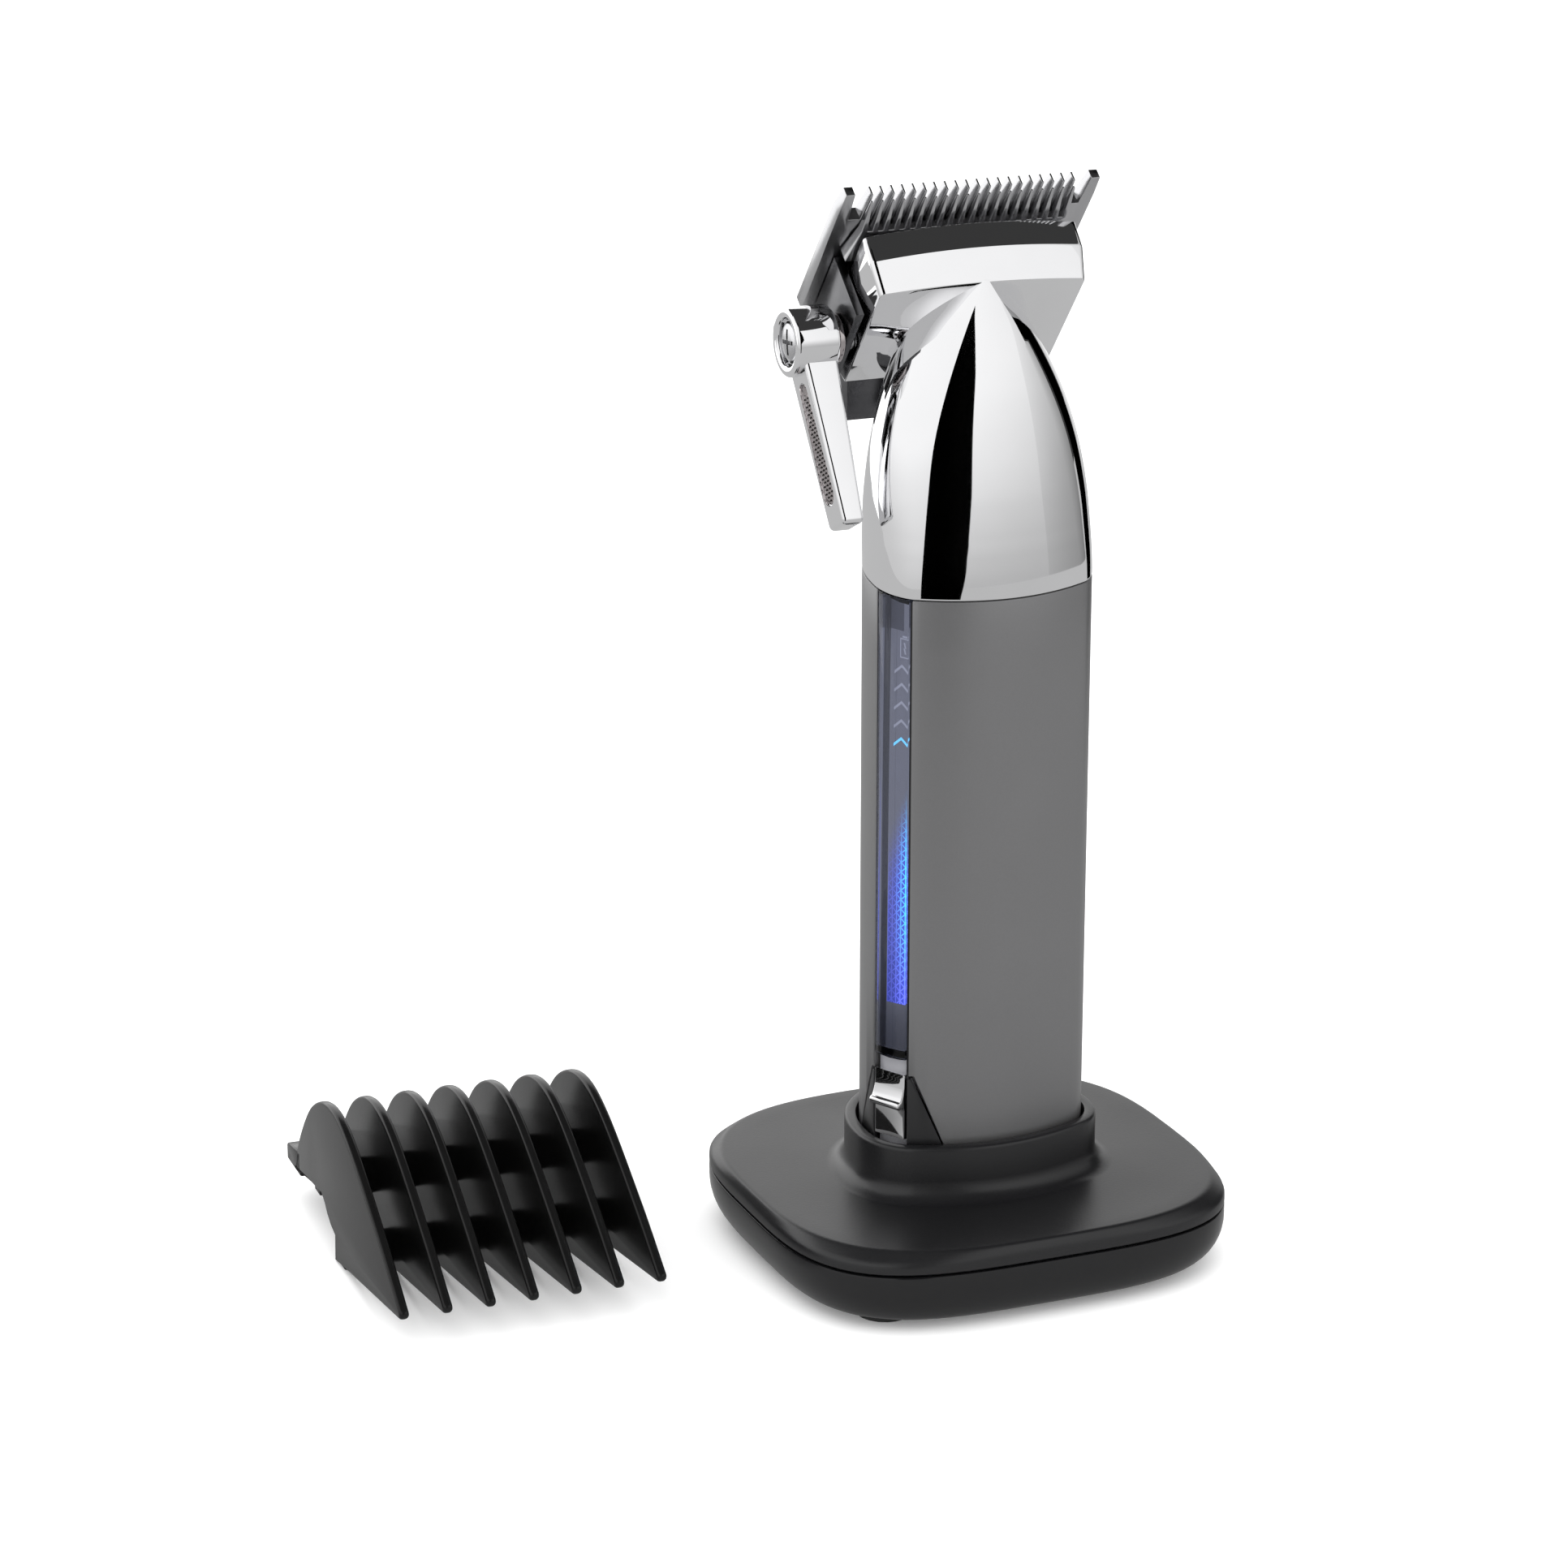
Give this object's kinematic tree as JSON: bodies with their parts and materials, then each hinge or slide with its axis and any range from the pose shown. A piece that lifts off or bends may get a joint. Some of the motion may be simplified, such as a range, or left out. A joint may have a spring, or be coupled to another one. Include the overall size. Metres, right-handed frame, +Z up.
{
  "type": "hair clipper",
  "caption": "Cordless hair clipper with a wide blade and side taper lever, standing in a square charging stand, with a ribbed guard comb beside it.",
  "frame": {"origin": "middle of the charging stand's flat underside, 0.8 mm above the table that its rubber feet stand on", "axes": "+Z up along the clipper, -Y towards the plain front with the moving blade in view, -X towards the taper lever and the window strip"},
  "size_m": [0.1446, 0.1002, 0.1827],
  "materials": {
    "black_satin": "fine satin texture",
    "black_gloss": "glossy moulded plastic",
    "rubber": "matte",
    "steel": "ground and polished",
    "dark_steel": "dark, polished",
    "contact_metal": "gold plated",
    "circuit_board": "green solder mask",
    "gunmetal": "satin metallic",
    "lens": "clear dark tint, glossy",
    "light_panel": "lit blue",
    "grey_plastic": "satin",
    "chrome": "mirror polished",
    "dark_chrome": "smoked mirror polish",
    "battery_wrap": "shrink sleeve"
  },
  "bodies": {
    "stand": {"stand_top_shell": "black_satin", "stand_base_shell": "black_gloss", "foot_1": "rubber", "foot_2": "rubber", "foot_3": "rubber", "foot_4": "rubber", "base_screw_1": "steel", "base_screw_2": "steel", "base_screw_3": "steel", "base_screw_4": "steel", "ballast_plate": "dark_steel", "charging_contact_1": "contact_metal", "charging_contact_2": "contact_metal", "charging_inlet": "black_gloss", "stand_board": "circuit_board"},
    "clipper": {"body_shell": "gunmetal", "end_cap": "black_satin", "charging_pad_1": "contact_metal", "charging_pad_2": "contact_metal", "window_lens": "lens", "light_panel": "light_panel", "circuit_board": "circuit_board", "switch_plate": "grey_plastic", "battery_cell": "battery_wrap", "motor": "dark_steel", "motor_mount": "black_satin", "joint_ring": "black_satin", "head_housing": "chrome", "fixed_blade": "steel", "blade_bracket": "dark_steel", "blade_screw_1": "steel", "blade_screw_2": "steel"},
    "switch_slider": {"switch_slider": "chrome"},
    "motor_shaft": {"motor_shaft": "steel"},
    "taper_lever": {"taper_lever": "chrome", "lever_grip_panel": "dark_chrome", "lever_axle": "steel", "lever_cam": "dark_chrome"},
    "cutter_carrier": {"cutter_carrier": "steel", "tension_spring": "steel"},
    "moving_blade": {"moving_blade": "steel", "drive_fork": "black_satin"},
    "comb_guard": {"comb_guard": "black_gloss"}
  },
  "joints": [
    {"name": "clipper_lift", "type": "slide", "parent": "stand", "child": "clipper", "axis": [0, 0, 1], "range_m": [0, 0.06]},
    {"name": "comb_lift", "type": "slide", "parent": "stand", "child": "comb_guard", "axis": [0, 0, 1], "range_m": [0, 0.03]},
    {"name": "switch_slide", "type": "slide", "parent": "clipper", "child": "switch_slider", "axis": [0, 0, 1], "range_m": [0, 0.0024]},
    {"name": "motor_spin", "type": "hinge", "parent": "clipper", "child": "motor_shaft", "pos_m": [0, 0.001, 0.12], "axis": [0, 0, 1], "continuous": true},
    {"name": "lever_turn", "type": "hinge", "parent": "clipper", "child": "taper_lever", "pos_m": [-0.025, 0.00858, 0.15614], "axis": [1, 0, 0], "range_deg": [-12, 20]},
    {"name": "cutter_slide", "type": "slide", "parent": "clipper", "child": "cutter_carrier", "axis": [0, -0.6468, 0.7627], "range_m": [-0.00048, 0.0008]},
    {"name": "blade_stroke", "type": "slide", "parent": "cutter_carrier", "child": "moving_blade", "axis": [1, 0, 0], "range_m": [-0.001, 0.001]}
  ],
  "couplings": [
    {"joint": "lever_turn", "follows": "cutter_slide", "rad_per_m": 434.8}
  ]
}
